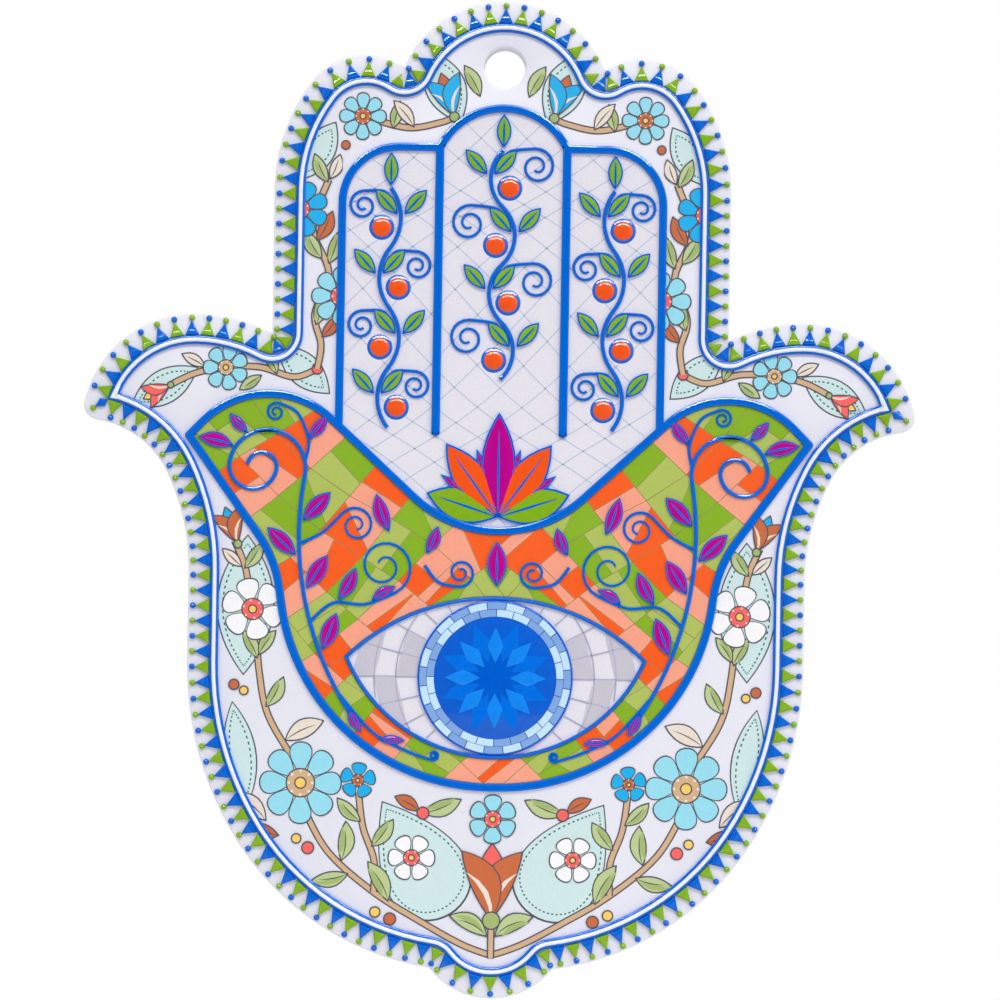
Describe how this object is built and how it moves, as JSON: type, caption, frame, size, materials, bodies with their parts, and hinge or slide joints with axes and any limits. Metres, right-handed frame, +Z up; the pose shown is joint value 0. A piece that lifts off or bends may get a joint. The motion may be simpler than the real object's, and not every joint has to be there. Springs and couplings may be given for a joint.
{
  "type": "hamsa hand wall ornament",
  "caption": "Flat hand-shaped wall ornament with a hanging hole, a raised dogtooth and bead border, vines on the fingers and an eye on a mosaic palm.",
  "frame": {"origin": "centre of the hanging hole at the back face of the board", "axes": "+Z up towards the fingertips, +Y from the face to the wall, +X to the right seen from the front"},
  "size_m": [0.1, 0.0045, 0.12],
  "materials": {
    "board_white": "white, faintly lavender, satin",
    "lacquer_blue": "raised gloss lacquer",
    "lacquer_green": "raised gloss lacquer",
    "lacquer_orange": "raised gloss lacquer",
    "lacquer_magenta": "raised gloss lacquer",
    "lacquer_iris": "raised gloss lacquer",
    "print_orange": "flat print",
    "print_green": "flat print",
    "print_peach": "flat print",
    "print_lime": "flat print",
    "print_grey": "flat print",
    "print_pale_blue": "flat print",
    "print_bright_blue": "flat print"
  },
  "bodies": {
    "root": {"board": "board_white", "rim_line": "lacquer_blue", "border_points_blue": "lacquer_blue", "border_points_green": "lacquer_green", "border_beads_blue": "lacquer_blue", "border_beads_green": "lacquer_green", "hand_contour": "lacquer_blue", "scrollwork": "lacquer_blue", "finger_leaves": "lacquer_green", "finger_berries": "lacquer_orange", "palm_tiles_orange": "print_orange", "palm_tiles_green": "print_green", "palm_tiles_peach": "print_peach", "palm_tiles_lime": "print_lime", "palm_leaves": "lacquer_magenta", "eye_shade": "print_grey", "iris": "lacquer_iris", "iris_ring_pale": "print_pale_blue", "iris_facets": "print_bright_blue", "palmette_magenta": "lacquer_magenta", "palmette_orange": "lacquer_orange", "palmette_green": "lacquer_green"}
  },
  "joints": []
}
